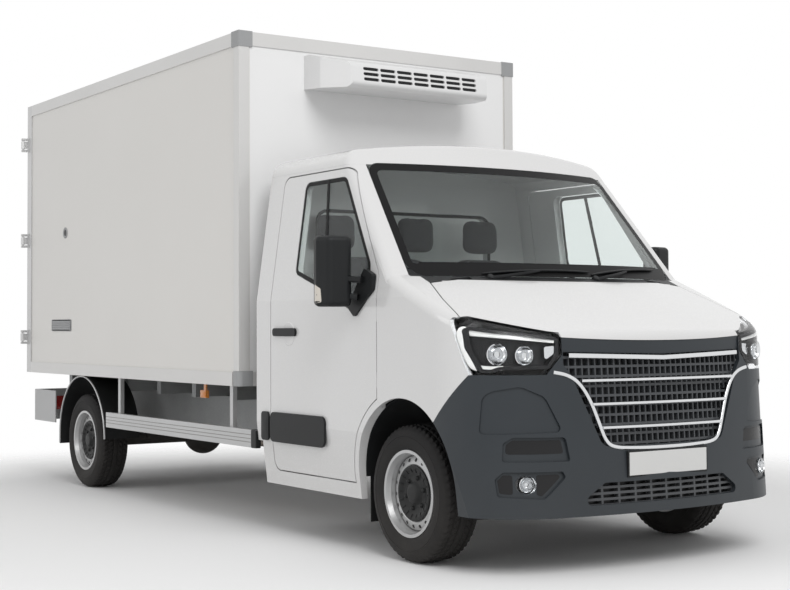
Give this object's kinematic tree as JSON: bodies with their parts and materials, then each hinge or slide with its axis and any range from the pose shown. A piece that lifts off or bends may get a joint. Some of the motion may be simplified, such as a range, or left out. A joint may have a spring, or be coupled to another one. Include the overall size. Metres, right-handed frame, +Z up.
{
  "type": "refrigerated truck",
  "caption": "Light truck with a hinged-door cab, an insulated box body with full rear doors and a cooler unit on the box's front wall above the cab.",
  "frame": {"origin": "on the ground under the middle of the truck's length and width", "axes": "+X forward, +Y to the truck's left, +Z up"},
  "size_m": [6.308, 2.5086, 2.994],
  "materials": {
    "white_paint": "gloss",
    "box_panel": "satin",
    "box_floor": "matte",
    "rail_metal": "satin",
    "frame_steel": "satin",
    "grey_caps": "matte",
    "cooler_case": "satin",
    "glass": "polished",
    "bumper_plastic": "grained",
    "black_plastic": "grained",
    "grille_black": "gloss",
    "lamp_cover": "gloss",
    "lamp_red": "gloss",
    "chassis_black": "satin",
    "bumper_grey": "satin",
    "engine_iron": "rough",
    "exhaust_steel": "dull",
    "tank_plastic": "matte",
    "dash_plastic": "grained",
    "cab_floor": "matte",
    "seat_fabric": "woven",
    "tyre": "matte",
    "rim_silver": "satin"
  },
  "bodies": {
    "chassis": {"body_lamps": "lamp_red", "box_bearers": "chassis_black", "box_corner_caps": "grey_caps", "box_edge_rails": "rail_metal", "box_floor": "box_floor", "box_front_wall": "box_panel", "box_rear_frame": "frame_steel", "box_roof": "box_panel", "box_side_walls": "box_panel", "cab_floor": "cab_floor", "cab_rear_wall": "white_paint", "cab_roof": "white_paint", "cab_sides": "white_paint", "cab_windows": "glass", "chassis_frame": "chassis_black", "cooler_unit": "cooler_case", "cowl": "black_plastic", "dashboard": "dash_plastic", "drive_shaft": "chassis_black", "engine_block": "engine_iron", "exhaust": "exhaust_steel", "front_arch_liners": "black_plastic", "front_bumper": "bumper_plastic", "front_lamps": "lamp_cover", "front_suspension": "chassis_black", "front_wings": "white_paint", "fuel_tank": "tank_plastic", "grilles": "grille_black", "hinge_pins": "frame_steel", "rear_axle": "chassis_black", "rear_bumper": "bumper_grey", "rear_mudguards": "black_plastic", "rear_springs": "chassis_black", "seats": "seat_fabric", "side_guards": "rail_metal"},
    "bonnet": {"bonnet": "white_paint"},
    "steering_wheel": {"steering_wheel": "dash_plastic"},
    "cab_door_left": {"cab_door_left": "white_paint", "door_glass_left": "glass", "door_fittings_left": "black_plastic"},
    "rear_door_left": {"rear_door_left": "box_panel", "rear_door_gear_left": "frame_steel"},
    "knuckle_left": {"knuckle_left": "chassis_black"},
    "wheel_front_left": {"tyre_front_left": "tyre", "rim_front_left": "rim_silver"},
    "wheel_rear_left": {"tyre_rear_left": "tyre", "rim_rear_left": "rim_silver"},
    "cab_door_right": {"cab_door_right": "white_paint", "door_glass_right": "glass", "door_fittings_right": "black_plastic"},
    "rear_door_right": {"rear_door_right": "box_panel", "rear_door_gear_right": "frame_steel"},
    "knuckle_right": {"knuckle_right": "chassis_black"},
    "wheel_front_right": {"tyre_front_right": "tyre", "rim_front_right": "rim_silver"},
    "wheel_rear_right": {"tyre_rear_right": "tyre", "rim_rear_right": "rim_silver"}
  },
  "joints": [
    {"name": "cab_door_right_swing", "type": "hinge", "parent": "chassis", "child": "cab_door_right", "pos_m": [2.0825, -1.0315, 1.09], "axis": [0, 0, 1], "range_deg": [0, 70]},
    {"name": "rear_door_right_swing", "type": "hinge", "parent": "chassis", "child": "rear_door_right", "pos_m": [-3.138, -1.08, 1.9], "axis": [0, 0, 1], "range_deg": [0, 270]},
    {"name": "cab_door_left_swing", "type": "hinge", "parent": "chassis", "child": "cab_door_left", "pos_m": [2.0825, 1.0315, 1.09], "axis": [0, 0, -1], "range_deg": [0, 70]},
    {"name": "rear_door_left_swing", "type": "hinge", "parent": "chassis", "child": "rear_door_left", "pos_m": [-3.138, 1.08, 1.9], "axis": [0, 0, -1], "range_deg": [0, 270]},
    {"name": "bonnet_lift", "type": "hinge", "parent": "chassis", "child": "bonnet", "pos_m": [2.3395, 0, 1.42572], "axis": [0, -1, 0], "range_deg": [0, 55]},
    {"name": "steer_right", "type": "hinge", "parent": "chassis", "child": "knuckle_right", "pos_m": [2.284, -0.8, 0.3495], "axis": [0, 0, 1], "range_deg": [-35, 35]},
    {"name": "steer_left", "type": "hinge", "parent": "chassis", "child": "knuckle_left", "pos_m": [2.284, 0.8, 0.3495], "axis": [0, 0, 1], "range_deg": [-35, 35]},
    {"name": "steering_wheel_turn", "type": "hinge", "parent": "chassis", "child": "steering_wheel", "pos_m": [1.594, 0.43, 1.245], "axis": [-0.848, 0, 0.5299], "range_deg": [-451, 451]},
    {"name": "wheel_front_right_roll", "type": "hinge", "parent": "knuckle_right", "child": "wheel_front_right", "pos_m": [2.284, -0.875, 0.3495], "axis": [0, 1, 0], "continuous": true},
    {"name": "wheel_front_left_roll", "type": "hinge", "parent": "knuckle_left", "child": "wheel_front_left", "pos_m": [2.284, 0.875, 0.3495], "axis": [0, 1, 0], "continuous": true},
    {"name": "wheel_rear_right_roll", "type": "hinge", "parent": "chassis", "child": "wheel_rear_right", "pos_m": [-2.048, -0.875, 0.3495], "axis": [0, 1, 0], "continuous": true},
    {"name": "wheel_rear_left_roll", "type": "hinge", "parent": "chassis", "child": "wheel_rear_left", "pos_m": [-2.048, 0.875, 0.3495], "axis": [0, 1, 0], "continuous": true}
  ],
  "couplings": [
    {"joint": "steer_left", "follows": "steer_right", "ratio": 1},
    {"joint": "steering_wheel_turn", "follows": "steer_right", "ratio": 12.857}
  ]
}
